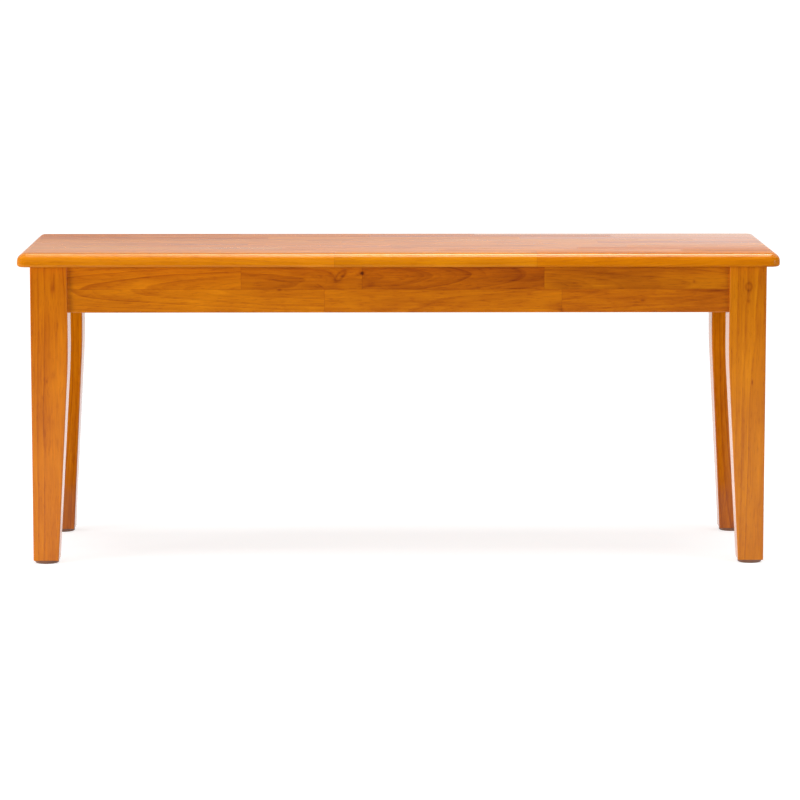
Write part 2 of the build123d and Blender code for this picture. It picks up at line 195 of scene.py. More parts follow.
# Growth rings, main ones and fine ones between them, and one ring's shade as it grew
ring_spacing, ring_unevenness = 5.6 * MILLIMETRE, 1.3
fine_spacing, fine_unevenness = 1.9 * MILLIMETRE, 0.8
ring_stops = ((0.0, 0.0), (0.50, 0.18), (0.80, 0.55), (0.91, 1.0), (0.96, 0.9), (1.0, 0.0))
ring_middle = 0.35
faintest_ring = 0.25
waves_per_ring = 0.45

# A knot pulls the rings round it, less and less with distance, and may have a dark rim
pull_fade = 0.16
rim_sharpness = 6.0

# Noise in the wood, in waves per metre along, across and through the trunk
wander_waves = (3.4, 14, 14)
streak_waves = (5, 80, 80)
line_waves = (20, 300, 300)
fleck_waves = (70, 520, 520)
fibre_waves = (18, 900, 900)
blotch_waves = (11, 34, 34)
pore_waves = (95, 2300, 2300)
wander_reach = 9 * MILLIMETRE
streak_span = (0.25, 0.75)
fleck_span = (0.54, 0.70)
pore_span = (0.64, 0.74)

# How much each mark lightens the wood or, below zero, darkens it
ring_weight = -0.30
fine_ring_weight = -0.10
streak_weight = 0.30
line_weight = 0.30
fibre_weight = 0.22
blotch_weight = 0.42
fleck_weight = -0.12
pore_weight = -0.10
seam_weight = -0.16

# A glue seam is dark up to the first distance from the joint, and gone at the second
seam_span = (0.15 * MILLIMETRE, 0.55 * MILLIMETRE)

# The hue that changes nothing, and how far a stave's own hue departs from it
plain_hue, hue_reach = 0.5, 0.0035

# Relief of the surface, and how rough it is where the streaks are dark and pale
pore_height, fibre_height, seam_height = -0.7, 0.5, -0.6
wood_relief = 0.05 * MILLIMETRE
wood_relief_strength = 0.08
wood_roughness = (0.26, 0.34)
wood_ior = 1.08
lacquer_roughness = 0.14
lacquer_ior = 1.5

# The lacquer lies thickest on rounded upper edges, between these slopes of their normals
round_from = (0.35, 0.60)
round_to = (0.90, 0.945)
round_sheen = 0.95


def rings_at(graph, radius, spacing, unevenness):
    """Growth rings at this distance from the pith: pale early wood, then a thin dark line."""
    along_radius = graph.add("CombineXYZ", {}, radius, 0.0, 0.0).outputs[0]
    uneven = graph.noise(along_radius, (waves_per_ring / spacing, 1, 1), smooth_detail)
    count = graph.math("MULTIPLY_ADD", uneven, unevenness, graph.math("DIVIDE", radius, spacing))
    ring = graph.ramp(graph.math("FRACT", count), ring_stops)
    chance = graph.add("TexWhiteNoise", {"noise_dimensions": "1D"})
    graph.put(graph.math("FLOOR", count), chance.inputs["W"])
    weight = graph.spread(chance.outputs["Value"], 0.0, 1.0, faintest_ring, 1.0)
    return graph.math("MULTIPLY", graph.math("SUBTRACT", ring, ring_middle), weight)


def knots_at(graph, knots, radius):
    """Darkness of the knots, and the distance from the pith with its rings pulled round them."""
    place = graph.place()
    cores = 0.0
    for knot_place, reach, tilt, darkness, pull, hollow in knots:
        away = graph.vector("SUBTRACT", place, knot_place)
        if tilt:
            tilted = graph.add("VectorRotate", {"rotation_type": "Y_AXIS"}, away)
            tilted.inputs["Angle"].default_value = math.radians(tilt)
            away = tilted.outputs[0]
        away = graph.vector("MULTIPLY", away, tuple(1 / size for size in reach))
        distance = graph.vector("LENGTH", away)
        push = graph.bell(distance, pull_fade)
        radius = graph.math("MULTIPLY_ADD", push, min(reach) * pull, radius)
        off_rim = graph.math("SUBTRACT", distance, hollow)
        core = graph.bell(off_rim, 1.0 + rim_sharpness * hollow)
        cores = graph.math("MULTIPLY_ADD", core, darkness, cores)
    return cores, radius


def glue_seam(graph):
    """One at the joint with the next stave or strip, and zero away from it."""
    nearest = graph.vector("MINIMUM", graph.attribute("to_low"), graph.attribute("to_high"))
    margin = graph.math("MINIMUM", graph.part(nearest, "X"), graph.part(nearest, "Y"))
    return graph.spread(margin, *seam_span, 1.0, 0.0)


def lacquer_coat(graph):
    """Weight of the lacquer: the stave's own sheen, and more on rounded upper edges."""
    upward = graph.part(graph.add("NewGeometry", {}).outputs["Normal"], "Z")
    short_of_flat = graph.spread(upward, *round_to, 1.0, 0.0)
    rounded = graph.math("MULTIPLY", graph.spread(upward, *round_from), short_of_flat)
    rounded = graph.math("MULTIPLY", rounded, round_sheen)
    return graph.math("MAXIMUM", graph.attribute("sheen", "Fac"), rounded)


def lacquered_wood(name, stops, knots=(), contrast=1.0):
    """Wood with rings, fibres, pores and blotches under a clear lacquer.

    Each piece carries its grain, in metres from the pith with the trunk along X, its
    margins to the joints, and its tone, figure, hue and sheen. A knot is (place, reach,
    tilt in degrees, darkness, pull on the rings, hollowness).
    """
    graph = Graph(bpy.data.materials.new(name))
    grain = graph.attribute("grain")
    wander = graph.noise(grain, wander_waves, broad_detail, "Color")
    wander = graph.vector("SUBTRACT", wander, (noise_middle,) * 3)
    bent = graph.vector("ADD", grain, graph.vector("MULTIPLY", wander, (0, wander_reach, wander_reach)))
    radius = graph.vector("LENGTH", graph.vector("MULTIPLY", bent, (0, 1, 1)))
    cores, radius = knots_at(graph, knots, radius)
    rings = rings_at(graph, radius, ring_spacing, ring_unevenness)
    rings = graph.math("MULTIPLY", rings, graph.attribute("figure", "Fac"))
    fine_rings = rings_at(graph, radius, fine_spacing, fine_unevenness)
    streaks = graph.noise(bent, streak_waves)
    lines = graph.noise(bent, line_waves)
    flecks = graph.spread(graph.noise(bent, fleck_waves), *fleck_span)
    fibres = graph.noise(bent, fibre_waves)
    blotches = graph.noise(grain, blotch_waves)
    pores = graph.spread(graph.noise(bent, pore_waves, smooth_detail), *pore_span)
    marks = (
        (rings, 0.0, ring_weight),
        (fine_rings, 0.0, fine_ring_weight),
        (streaks, noise_middle, streak_weight),
        (lines, noise_middle, line_weight),
        (fibres, noise_middle, fibre_weight),
        (blotches, noise_middle, blotch_weight),
        (flecks, 0.0, fleck_weight),
        (pores, 0.0, pore_weight),
    )
    value = graph.attribute("tone", "Fac")
    for mark, middle, weight in marks:
        lightness = graph.math("SUBTRACT", mark, middle)
        value = graph.math("MULTIPLY_ADD", lightness, weight * contrast, value)
    seam = glue_seam(graph)
    value = graph.math("MULTIPLY_ADD", seam, seam_weight, value)
    value = graph.math("SUBTRACT", value, cores)
    hue = graph.math("MULTIPLY_ADD", graph.attribute("hue", "Fac"), hue_reach, plain_hue)
    colour = graph.add("HueSaturation", {}, hue, 1.0, 1.0, 1.0, graph.ramp(value, stops)).outputs[0]
    height = graph.math("MULTIPLY", fibres, fibre_height)
    height = graph.math("MULTIPLY_ADD", pores, pore_height, height)
    height = graph.math("MULTIPLY_ADD", seam, seam_height, height)
    graph.bump(height, wood_relief, wood_relief_strength)
    return graph.finish(
        Base_Color=colour,
        Roughness=graph.spread(streaks, *streak_span, *wood_roughness),
        IOR=wood_ior,
        Coat_Weight=lacquer_coat(graph),
        Coat_Roughness=lacquer_roughness,
        Coat_IOR=lacquer_ior,
    )


# Plated steel: waves per metre of its clouds, brush marks and specks, and what they do
cloud_waves = (180, 180, 180)
brush_waves = (2600, 400, 400)
speck_waves = (900, 900, 900)
speck_span = (0.60, 0.70)
speck_share = 0.5
speck_height = -0.5
cloud_roughness = 0.16
speck_roughness = 0.15
steel_relief = 0.03 * MILLIMETRE
steel_relief_strength = 0.3


def steel(name, colour, roughness, speck):
    """Plated steel, uneven and lightly brushed, with small dull specks."""
    graph = Graph(bpy.data.materials.new(name))
    place = graph.place()
    cloud = graph.noise(place, cloud_waves, broad_detail)
    brush = graph.noise(place, brush_waves)
    specks = graph.spread(graph.noise(place, speck_waves), *speck_span)
    tint = graph.mix(graph.math("MULTIPLY", specks, speck_share), (*colour, 1), (*speck, 1))
    rough = graph.math("MULTIPLY_ADD", cloud, cloud_roughness, roughness - cloud_roughness / 2)
    rough = graph.math("MULTIPLY_ADD", specks, speck_roughness, rough)
    relief = graph.math("MULTIPLY_ADD", specks, speck_height, brush)
    graph.bump(relief, steel_relief, steel_relief_strength)
    return graph.finish(Base_Color=tint, Metallic=1.0, Roughness=rough)


# Moulded plastic: waves per metre of its clouds, grit and scuffs, and what they do
tone_waves = (140, 140, 90)
grit_waves = (1500, 1500, 1500)
scuff_waves = (420, 160, 420)
scuff_span = (0.56, 0.72)
scuff_share = 0.45
scuff_height = -0.5
scuff_roughness = 0.18
plastic_roughness = 0.42
dark_tone_share = 0.8
tone_from, tone_to = 0.3, 0.7
plastic_relief = 0.06 * MILLIMETRE
plastic_relief_strength = 0.4


def moulded_plastic(name, colour, worn):
    """Brown moulded plastic with a fine grain, paler where it has been scuffed."""
    graph = Graph(bpy.data.materials.new(name))
    place = graph.place()
    cloud = graph.noise(place, tone_waves, broad_detail)
    grit = graph.noise(place, grit_waves)
    scuffs = graph.spread(graph.noise(place, scuff_waves, broad_detail), *scuff_span)
    dark = tuple(dark_tone_share * part for part in colour)
    base = graph.ramp(cloud, ((tone_from, dark), (tone_to, colour)))
    tint = graph.mix(graph.math("MULTIPLY", scuffs, scuff_share), base, (*worn, 1))
    relief = graph.math("MULTIPLY_ADD", scuffs, scuff_height, grit)
    graph.bump(relief, plastic_relief, plastic_relief_strength)
    rough = graph.math("MULTIPLY_ADD", scuffs, scuff_roughness, plastic_roughness)
    return graph.finish(Base_Color=tint, Roughness=rough)


def node_faces(node):
    """The faces of a node's mesh, each as (corner points, centre, normal, area)."""
    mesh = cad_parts[node].data
    corners = [vertex.co.copy() for vertex in mesh.vertices]
    return [
        ([corners[number] for number in face.vertices], face.center.copy(), face.normal.copy(), face.area)
        for face in mesh.polygons
    ]


def corner_key(corner):
    """The same for corners that lie on each other."""
    return tuple(round(part / weld_distance) for part in corner)


def solids_of(node):
    """The faces of each separate solid of a node."""
    faces = node_faces(node)
    touching = {}
    for number, (corners, *_) in enumerate(faces):
        for corner in corners:
            touching.setdefault(corner_key(corner), []).append(number)
    neighbours = [set() for _ in faces]
    for numbers in touching.values():
        for number in numbers:
            neighbours[number].update(numbers)
    found = set()
    solids = []
    for first in range(len(faces)):
        if first not in found:
            found.add(first)
            solid = [first]
            for number in solid:
                fresh = sorted(neighbours[number] - found)
                found.update(fresh)
                solid.extend(fresh)
            solids.append([faces[number] for number in solid])
    return solids


def joint_places(faces, along, section):
    """Where two staves butt: there, whole end faces lie back to back."""
    areas = {}
    for _, centre, normal, area in faces:
        if abs(normal.dot(along)) > square_on:
            step = round(centre.dot(along) / joint_step)
            areas[step] = areas.get(step, 0.0) + area
    least = back_to_back_share * section
    return sorted(step * joint_step for step, area in areas.items() if area > least)


def extent(points, direction):
    """Lowest and highest place of the points along a direction."""
    places = [point.dot(direction) for point in points]
    return min(places), max(places)


class Timber:
    """A mesh that grows stave by stave, with each stave's grain written on its corners.

    lean is the part of the run-out that chance may give, and the last argument is painted
    shade: how much lighter a stave is at its far end than in its middle.
    """

    def __init__(self, node, lean=1.0, painted_shade=0.0):
        self.chance = random.Random(node)
        self.lean = lean
        self.painted_shade = painted_shade
        self.shape = bmesh.new()
        layers = self.shape.verts.layers
        self.grain, self.to_low, self.to_high = (
            layers.float_vector.new(name) for name in ("grain", "to_low", "to_high")
        )
        self.traits = [layers.float.new(name) for name in ("tone", "figure", "hue", "sheen")]

    def add_stave(self, faces, directions, low, high, tone, sheen=even_sheen, growth=None):
        """One stave between its lowest and highest joint places along and across.

        Its growth is its pith's side and depth, its run-out through and its figure; without
        one, chance gives them.
        """
        chance = self.chance
        made = {}
        stave_faces = []
        for corners, *_ in faces:
            keys = [corner_key(corner) for corner in corners]
            for key, corner in zip(keys, corners):
                if key not in made:
                    made[key] = self.shape.verts.new(corner)
            if len(set(keys)) == len(keys):
                stave_faces.append(self.shape.faces.new([made[key] for key in keys]))
        verts = list(made.values())
        spans = [extent([vert.co for vert in verts], direction) for direction in directions]
        middle = Vector([sum(span) / 2 for span in spans])
        half_length = (spans[0][1] - spans[0][0]) / 2
        pith_spans = ((0, trunk_shift), pith_sides, pith_depths)
        pith = Vector([chance.uniform(*span) for span in pith_spans])
        slope = Vector((0.0, *(self.lean * chance.uniform(-limit, limit) for limit in run_out)))
        figure, hue = chance.uniform(*figures), chance.uniform(-1, 1)
        if growth:
            pith.y, pith.z, slope.z, figure = growth
            slope.y = 0.0
        for vert in verts:
            place = Vector([vert.co.dot(direction) for direction in directions])
            local = place - middle
            vert[self.grain] = local + pith + slope * local.x
            vert[self.to_low] = (place.x - low[0], place.y - low[1], no_joint)
            vert[self.to_high] = (high[0] - place.x, high[1] - place.y, no_joint)
            # Painted shade: the tone rises towards the stave's far end and falls towards its near end
            tone_and_painted_shade = tone + self.painted_shade * local.x / half_length
            for layer, trait in zip(self.traits, (tone_and_painted_shade, figure, hue, sheen)):
                vert[layer] = trait
        edges = list({edge for face in stave_faces for edge in face.edges})
        bmesh.ops.dissolve_limit(self.shape, angle_limit=flat_angle, verts=verts, edges=edges)


def wooden_piece(
    node,
    directions,
    tones,
    material,
    joined=(False, False),
    lean=1.0,
    painted_shade=0.0,
    sheens=(even_sheen,),
    growths=(None,),
):
    """Rebuild a wooden node stave by stave; the staves butt end to end along it.

    directions are the stave's along, across and through. tones has a value for each
    stave, and sheens and growths start again where they are fewer. joined says whether
    the neighbouring strip is glued on at the low and at the high side across.
    """
    along = directions[0]
    faces = node_faces(node)
    points = [point for face in faces for point in face[0]]
    (start, end), (bottom, top), (back, front) = [extent(points, direction) for direction in directions]
    joints = joint_places(faces, along, (top - bottom) * (front - back))
    ends = [start - no_joint, *joints, end + no_joint]
    glued_low = bottom if joined[0] else bottom - no_joint
    glued_high = top if joined[1] else top + no_joint
    staves = [[] for _ in range(len(joints) + 1)]
    for face in faces:
        _, centre, normal, _ = face
        inside = centre - normal * inside_step
        staves[bisect.bisect(joints, inside.dot(along))].append(face)
    timber = Timber(node, lean, painted_shade)
    for number, stave in enumerate(staves):
        low, high = (ends[number], glued_low), (ends[number + 1], glued_high)
        sheen, growth = sheens[number % len(sheens)], growths[number % len(growths)]
        timber.add_stave(stave, directions, low, high, tones[number], sheen, growth)
    return finish_piece(timber.shape, node, material)


def loose_pieces(node, tone, material):
    """Rebuild a node of separate wooden pieces, each with its grain along its length."""
    timber = Timber(node)
    for faces in solids_of(node):
        points = [point for face in faces for point in face[0]]
        spans = [(extent(points, axis), axis) for axis in (X_AXIS, Y_AXIS, Z_AXIS)]
        spans.sort(key=lambda span: span[0][0] - span[0][1])
        axes = [axis for _, axis in spans]
        timber.add_stave(faces, axes, (-no_joint, -no_joint), (no_joint, no_joint), tone)
    return finish_piece(timber.shape, node, material)


def mesh_of(shape, name):
    mesh = bpy.data.meshes.new(name)
    shape.to_mesh(mesh)
    shape.free()
    return mesh


def finish_piece(shape, node, material):
    """Make the object from its mesh, let it ride, and let it stand for its node."""
    mesh = mesh_of(shape, node)
    mesh.shade_smooth()
    mesh.set_sharp_from_angle(angle=crease_angle)
    mesh.materials.append(material)
    piece = bpy.data.objects.new("dressed_" + node, mesh)
    bpy.context.scene.collection.objects.link(piece)
    normals = piece.modifiers.new("normals", "WEIGHTED_NORMAL")
    normals.keep_sharp = True
    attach(piece, "root")
    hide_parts(node)
    return piece


# Tones of the staves, as the photograph shows them on the front and chosen elsewhere
BRIGHT, LIGHT, MIDDLE, DEEP = 0.71, 0.66, 0.58, 0.48

# The seat's staves from left to right, one row a strip, the front strip first
seat_tones = (
    (0.755, 0.745, 0.705),
    (BRIGHT, BRIGHT, LIGHT, DEEP),
    (BRIGHT, LIGHT, MIDDLE),
    (LIGHT, LIGHT, MIDDLE, LIGHT),
    (MIDDLE, LIGHT, LIGHT),
    (LIGHT, LIGHT, DEEP),
    (MIDDLE, MIDDLE, LIGHT, LIGHT),
    (DEEP, LIGHT, MIDDLE),
    (DEEP, MIDDLE, DEEP, LIGHT),
    (DEEP, MIDDLE, LIGHT),
)
seat_sheens = (
    (0.35, 0.26, 0.10),
    (0.55, 0.48, 0.33, 0.10),
    (0.60, 0.48, 0.27),
    (0.53, 0.53, 0.50, 0.38),
    (0.54, 0.49, 0.50),
    (0.48, 0.50, 0.56),
    (0.40, 0.46, 0.52, 0.64),
    (0.33, 0.44, 0.66),
    (0.25, 0.35, 0.50, 0.72),
    (0.24, 0.44, 0.74),
)

# Knots and dark streaks as the photograph shows them: place, reach, tilt in degrees,
# darkness, pull on the rings, and 1 for a hollow rim instead of a full core
seat_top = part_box("seat_strip_01")[1].z
apron_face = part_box("front_apron_upper_strip")[0].y
leg_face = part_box("front_left_leg")[0].y
seat_knots = (((0.3400, -0.1570, seat_top), (0.1500, 0.011, 0.0040), 0, 0.14, 0.0, 0),)
apron_knots = (
    ((-0.0531, apron_face, 0.4263), (0.0024, 0.003, 0.0022), 0, 0.60, 1.6, 0),
    ((-0.0574, apron_face, 0.4249), (0.0070, 0.003, 0.0030), 20, 0.22, 0.6, 0),
    ((-0.0845, apron_face, 0.4228), (0.0090, 0.008, 0.0040), 45, 0.22, 0.9, 1),
    ((-0.0819, apron_face, 0.4223), (0.0026, 0.003, 0.0018), 45, 0.24, 0.0, 0),
    ((-0.0800, apron_face, 0.4250), (0.0150, 0.010, 0.0070), 0, 0.08, 0.0, 0),
    ((-0.0986, apron_face, 0.4265), (0.0024, 0.003, 0.0020), 0, 0.16, 0.3, 0),
    ((-0.1125, apron_face, 0.4214), (0.0022, 0.003, 0.0018), 0, 0.14, 0.2, 0),
    ((-0.1132, apron_face, 0.4076), (0.0060, 0.003, 0.0012), -32, 0.20, 0.0, 0),
    ((-0.0409, apron_face, 0.4097), (0.0065, 0.003, 0.0034), 0, 0.16, 0.3, 0),
    ((-0.1792, apron_face, 0.4167), (0.0170, 0.003, 0.0013), -7, 0.26, 0.3, 0),
    ((-0.1729, apron_face, 0.4021), (0.0030, 0.003, 0.0016), 0, 0.30, 0.3, 0),
    ((0.4289, apron_face, 0.4143), (0.0018, 0.003, 0.0018), 0, 0.26, 0.4, 0),
    ((0.4607, apron_face, 0.4006), (0.0200, 0.003, 0.0020), 3, 0.24, 0.2, 0),
    ((0.4490, apron_face, 0.3830), (0.0170, 0.003, 0.0020), 0, 0.10, 0.2, 0),
    ((0.3545, apron_face, 0.3866), (0.0030, 0.003, 0.0020), 0, 0.28, 0.2, 0),
    ((0.2365, apron_face, 0.3735), (0.0040, 0.003, 0.0032), 0, 0.18, 0.2, 0),
)
leg_knots = (
    ((0.5080, leg_face, 0.4068), (0.0042, 0.004, 0.0054), 0, 0.20, 0.2, 1),
    ((0.5080, leg_face, 0.4068), (0.0080, 0.006, 0.0120), 0, 0.09, 0.0, 0),
    ((0.5077, leg_face, 0.3861), (0.0026, 0.004, 0.0026), 0, 0.20, 0.2, 0),
    ((0.5146, leg_face, 0.2669), (0.0012, 0.003, 0.0034), 0, 0.30, 0.2, 0),
    ((-0.5010, leg_face, 0.4048), (0.0032, 0.004, 0.0060), 0, 0.22, 0.3, 0),
    ((-0.4990, leg_face, 0.4170), (0.0014, 0.004, 0.0120), 0, 0.16, 0.0, 0),
    ((-0.4948, leg_face, 0.3520), (0.0012, 0.004, 0.0070), 0, 0.18, 0.0, 0),
    ((-0.5020, leg_face, 0.2775), (0.0036, 0.004, 0.0075), -12, 0.15, 0.2, 0),
    ((-0.5111, leg_face, 0.2693), (0.0014, 0.004, 0.0024), 0, 0.24, 0.2, 0),
    ((-0.4974, leg_face, 0.1792), (0.0028, 0.004, 0.0090), 0, 0.13, 0.2, 0),
)
seat_contrast = 0.7
leg_contrast = 0.85
seat_material = lacquered_wood("seat_wood_lacquered", amber_stops, seat_knots, seat_contrast)
apron_material = lacquered_wood("apron_wood_lacquered", amber_stops, apron_knots)
leg_material = lacquered_wood("leg_wood_lacquered", amber_stops, leg_knots, leg_contrast)
block_material = lacquered_wood("block_wood_lacquered", amber_stops)

for number, tones in enumerate(seat_tones):
    wooden_piece(
        f"seat_strip_{number + 1:02d}",
        (X_AXIS, Y_AXIS, Z_AXIS),
        tones,
        seat_material,
        joined=(number > 0, number < len(seat_tones) - 1),
        sheens=seat_sheens[number],
    )

apron_tones = {
    "front_apron_upper_strip": (0.64, 0.53, 0.41, 0.50),
    "front_apron_lower_strip": (0.66, 0.60, 0.55),
    "rear_apron_upper_strip": (MIDDLE, LIGHT, DEEP, MIDDLE),
    "rear_apron_lower_strip": (DEEP, MIDDLE, LIGHT),
    "left_apron_upper_strip": (MIDDLE,),
    "left_apron_lower_strip": (LIGHT, DEEP),
    "right_apron_upper_strip": (DEEP, LIGHT),
    "right_apron_lower_strip": (MIDDLE,),
}
# Growth of the front apron's staves: the pith's side and depth, the run-out through, and
# the figure. Arches open to the right at the left end, and the right end is calm.
front_growths = {
    "front_apron_upper_strip": (
        (0.017, 0.040, -0.060, 0.90),
        (0.006, 0.052, 0.035, 0.80),
        (-0.004, 0.044, 0.070, 0.70),
        (0.014, 0.060, 0.045, 0.50),
    ),
    "front_apron_lower_strip": (
        (-0.017, 0.036, -0.055, 0.75),
        (0.010, 0.066, -0.030, 0.40),
        (-0.012, 0.070, 0.030, 0.50),
    ),
}
for node, tones in apron_tones.items():
    long_side = node.startswith(("front", "rear"))
    directions = (X_AXIS, Z_AXIS, Y_AXIS) if long_side else (Y_AXIS, Z_AXIS, X_AXIS)
    upper = "upper" in node
    growths = front_growths.get(node, (None,))
    wooden_piece(node, directions, tones, apron_material, joined=(upper, not upper), growths=growths)

# Legs are straight-grained; the rear ones get painted shade that darkens them towards their feet
leg_lean = 0.2
rear_leg_painted_shade = 0.16
for end, tone, painted_shade in (("front", LIGHT, 0.0), ("rear", MIDDLE, rear_leg_painted_shade)):
    for side in ("left", "right"):
        leg = f"{end}_{side}_leg"
        wooden_piece(leg, (Z_AXIS, X_AXIS, Y_AXIS), (tone,), leg_material, lean=leg_lean, painted_shade=painted_shade)
        turn = 1 if (end == "front") == (side == "left") else -1
        block_along = Vector((turn, -1, 0)).normalized()
        block_through = Vector((turn, 1, 0)).normalized()
        block = f"{end}_{side}_corner_block"
        wooden_piece(block, (block_along, Z_AXIS, block_through), (DEEP,), block_material)
wooden_piece("centre_brace", (Y_AXIS, X_AXIS, Z_AXIS), (MIDDLE,), block_material)
loose_pieces("seat_buttons", MIDDLE, block_material)
loose_pieces("apron_dowels", LIGHT, block_material)

metals = {
    "bolt_steel": steel("bolt_steel_plated", (0.42, 0.41, 0.40), 0.34, (0.16, 0.15, 0.14)),
    "washer_steel": steel("washer_steel_plated", (0.56, 0.55, 0.53), 0.30, (0.25, 0.24, 0.22)),
    "insert_zinc": steel("insert_zinc_plated", (0.60, 0.55, 0.45), 0.38, (0.30, 0.26, 0.20)),
    "screw_steel": steel("screw_steel_plated", (0.66, 0.52, 0.28), 0.28, (0.36, 0.27, 0.13)),
    "nail_steel": steel("nail_steel_bright", (0.55, 0.54, 0.53), 0.32, (0.22, 0.18, 0.15)),
    "glide_plastic": moulded_plastic("glide_plastic_moulded", (0.20, 0.085, 0.045), (0.34, 0.20, 0.14)),
}
turned_nodes = ("leg_bolts", "apron_screws", "block_seat_screws", "brace_screws", "button_screws")
for node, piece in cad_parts.items():
    slot = piece.data.materials[0].name
    if slot in metals and node not in turned_nodes:
        piece.material_slots[0].material = metals[slot]

# Turned fasteners, in millimetres until they are placed
screw = {
    "flat_radius": 0.8,
    "head_radius": 4.0,
    "head_height": 2.8,
    "rim_height": 1.2,
    "core_radius": 1.4,
    "crest_height": 0.55,
    "pitch": 1.8,
    "neck": 3.0,
    "point": 5.0,
    "tip_radius": 0,
}
bolt = {
    "flat_radius": 5.8,
    "head_radius": 7.0,
    "head_height": 4.0,
    "rim_height": 2.8,
    "core_radius": 3.35,
    "crest_height": 0.62,
    "pitch": 1.25,
    "neck": 12.0,
    "point": 1.2,
    "tip_radius": 2.6,
}
recess_depth = 1.7
recess_arm = 2.3
recess_half_width = 0.55
recess_arms = 4
recess_taper_share = 0.45
socket_depth = 2.4
socket_width = 5.0
socket_sides = 6
dome_steps = 6
steps_per_thread = 5
turned_segments = 18
cutter_spare = 0.5
axis_rounds = 12


def head(form):
    """Rows (radius, height, thread) of a domed head, from its flat top down to its underside."""
    flat, radius = form["flat_radius"], form["head_radius"]
    height = form["head_height"] - form["rim_height"]
    rows = [(0, 0, 0)]
    for step in range(dome_steps + 1):
        angle = math.pi / 2 * step / dome_steps
        rows.append((flat + (radius - flat) * math.sin(angle), height * (math.cos(angle) - 1), 0))
    return [*rows, (radius, -form["head_height"], 0)]


def shank(form, length):
    """Rows of a plain neck and a thread that starts and ends gently."""
    tip = form["tip_radius"]
    start = -form["head_height"] - form["neck"]
    plain = form["core_radius"] + form["crest_height"]
    rows = [(plain, -form["head_height"], 0), (plain, start, 0)]
    rise = form["pitch"] / steps_per_thread
    height = start - rise
    while height > -length + rise:
        fade_in = min(1.0, (start - height) / form["pitch"])
        fade_out = min(1.0, (height + length) / form["point"])
        core = tip + (form["core_radius"] - tip) * fade_out
        rows.append((core, height, form["crest_height"] * fade_in * fade_out))
        height -= rise
    if tip > 0:
        rows.append((tip, -length, 0))
    return [*rows, (0, -length, 0)]


def turned(rows, pitch):
    """A closed shape turned about Z, with a thread where the rows ask for one."""
    shape = bmesh.new()
    rings = []
    for radius, height, crest in rows:
        ring = []
        for step in range(turned_segments if radius > 0 else 1):
            turn = step / turned_segments
            wave = max(0.0, math.cos(math.tau * (height / pitch + turn)))
            reach = radius + crest * wave
            place = (reach * math.cos(math.tau * turn), reach * math.sin(math.tau * turn), height)
            ring.append(shape.verts.new(place))
        rings.append(ring)
    for upper, lower in zip(rings, rings[1:]):
        for step in range(turned_segments):
            after = step + 1
            corners = (
                upper[step % len(upper)],
                lower[step % len(lower)],
                lower[after % len(lower)],
                upper[after % len(upper)],
            )
            shape.faces.new(dict.fromkeys(corners))
    return shape


def cutter(outline, depth, floor_share):
    """A plug from above the head down to this depth, with its floor a share of its outline."""
    shape = bmesh.new()
    top = [shape.verts.new((x, y, cutter_spare)) for x, y in outline]
    bottom = [shape.verts.new((x * floor_share, y * floor_share, -depth)) for x, y in outline]
    shape.faces.new(top)
    shape.faces.new(reversed(bottom))
    for number in range(len(outline)):
        shape.faces.new((top[number - 1], bottom[number - 1], bottom[number], top[number]))
    return shape


def cut(shape, plug):
    """The shape with the plug taken out of it."""
    meshes = [mesh_of(part, "cutting") for part in (shape, plug)]
    body, tool = (bpy.data.objects.new("cutting", mesh) for mesh in meshes)
    for piece in (body, tool):
        bpy.context.scene.collection.objects.link(piece)
    difference = body.modifiers.new("difference", "BOOLEAN")
    difference.operation = "DIFFERENCE"
    difference.object = tool
    result = bmesh.new()
    result.from_object(body, bpy.context.evaluated_depsgraph_get())
    for piece, mesh in zip((body, tool), meshes):
        bpy.data.objects.remove(piece)
        bpy.data.meshes.remove(mesh)
    return result


def long_axis(points):
    """A turned solid's axis towards its widest end, that end's place on it, and its length."""
    middle = sum(points, Vector()) / len(points)
    spokes = [point - middle for point in points]
    axis = max(spokes, key=lambda spoke: spoke.length).normalized()
    for _ in range(axis_rounds):
        axis = sum((spoke.dot(axis) * spoke for spoke in spokes), Vector()).normalized()
    widest = max(spokes, key=lambda spoke: (spoke - spoke.dot(axis) * axis).length)
    if widest.dot(axis) < 0:
        axis.negate()
    tip, top = extent(spokes, axis)
    return axis, middle + top * axis, top - tip


def turned_piece(node, make, material):
    """Put one turned fastener, spun by chance, in the place of each solid of a node."""
    chance = random.Random(node)
    places = []
    for faces in solids_of(node):
        corners = {corner_key(point): point for face in faces for point in face[0]}
        places.append(long_axis(list(corners.values())))
    pattern = mesh_of(make(places[0][2] / MILLIMETRE), node)
    shape = bmesh.new()
    for axis, top, _ in places:
        fresh = len(shape.verts)
        shape.from_mesh(pattern)
        shape.verts.ensure_lookup_table()
        turn = axis.to_track_quat("Z", "Y").to_matrix().to_4x4()
        spin = Matrix.Rotation(chance.uniform(0, math.tau), 4, "Z")
        place = Matrix.Translation(top) @ turn @ spin @ Matrix.Scale(MILLIMETRE, 4)
        bmesh.ops.transform(shape, matrix=place, verts=shape.verts[fresh:])
    bpy.data.meshes.remove(pattern)
    return finish_piece(shape, node, material)


def wood_screw(length):
    """A screw of this length with a cross recess in its head."""
    arm, half = recess_arm, recess_half_width
    corner = ((arm, -half), (arm, half), (half, half))
    outline = []
    for quarter in range(recess_arms):
        for x, y in corner:
            for _ in range(quarter):
                x, y = -y, x
            outline.append((x, y))
    body = turned([*head(screw), *shank(screw, length)], screw["pitch"])
    return cut(body, cutter(outline, recess_depth, recess_taper_share))


def socket_bolt(length):
    """A bolt of this length with a six-sided socket in its head."""
    reach = socket_width / math.sqrt(3)
    turns = [math.tau * corner / socket_sides for corner in range(socket_sides)]
    outline = [(reach * math.cos(turn), reach * math.sin(turn)) for turn in turns]
    body = turned([*head(bolt), *shank(bolt, length)], bolt["pitch"])
    return cut(body, cutter(outline, socket_depth, 1.0))


for node in turned_nodes:
    make = socket_bolt if node == "leg_bolts" else wood_screw
    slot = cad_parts[node].data.materials[0].name
    turned_piece(node, make, metals[slot])


